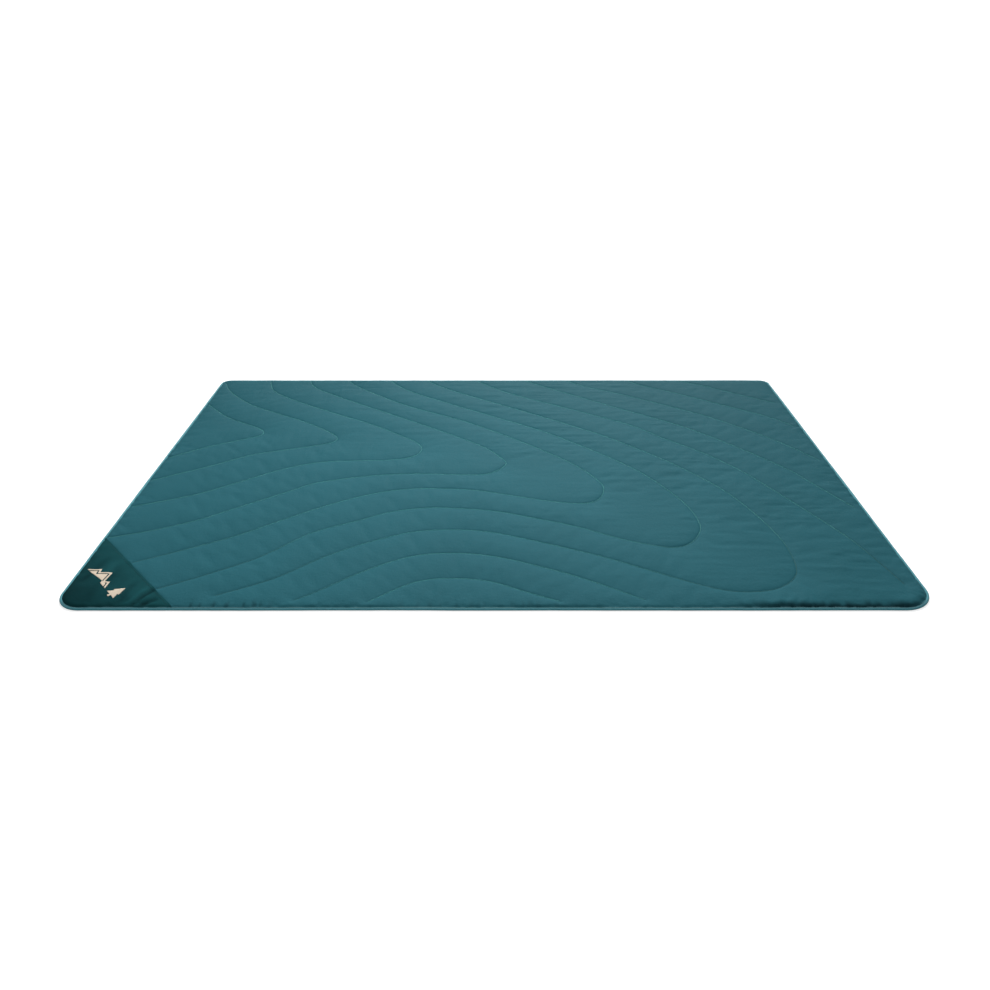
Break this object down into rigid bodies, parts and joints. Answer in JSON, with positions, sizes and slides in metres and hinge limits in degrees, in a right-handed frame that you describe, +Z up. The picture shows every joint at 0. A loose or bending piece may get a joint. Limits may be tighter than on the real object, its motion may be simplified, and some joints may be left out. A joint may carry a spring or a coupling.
{
  "type": "camp blanket",
  "caption": "Quilted insulated camp blanket laid flat, with contour-line quilting, bound rounded edges and a darker corner patch.",
  "frame": {"origin": "centre of the blanket's underside, where it rests on the ground", "axes": "+X along the long side to the right, +Y across to the back edge, +Z up out of the face side; the darker corner patch is at the -X, -Y corner"},
  "size_m": [1.905, 1.321, 0.0104],
  "materials": {
    "face": "woven nylon taffeta, slight sheen",
    "back": "woven nylon taffeta, slight sheen",
    "patch": "matt woven polyester",
    "binding": "folded woven tape",
    "thread": "twisted polyester thread",
    "fill": "lofted polyester fibre",
    "mark": "matt printed film",
    "label": "woven satin label"
  },
  "bodies": {
    "root": {"back_fabric": "back", "insulation": "fill", "face_fabric": "face", "corner_patch": "patch", "corner_patch_thread": "thread", "corner_mark": "mark", "edge_binding": "binding", "binding_thread": "thread", "care_label": "label", "quilt_seam_01": "thread", "quilt_seam_02": "thread", "quilt_seam_03": "thread", "quilt_seam_04": "thread", "quilt_seam_05": "thread", "quilt_seam_06": "thread", "quilt_seam_07": "thread", "quilt_seam_08": "thread", "quilt_seam_09": "thread", "quilt_seam_10": "thread", "quilt_seam_11": "thread", "quilt_seam_12": "thread", "quilt_seam_13": "thread", "quilt_seam_14": "thread"}
  },
  "joints": []
}
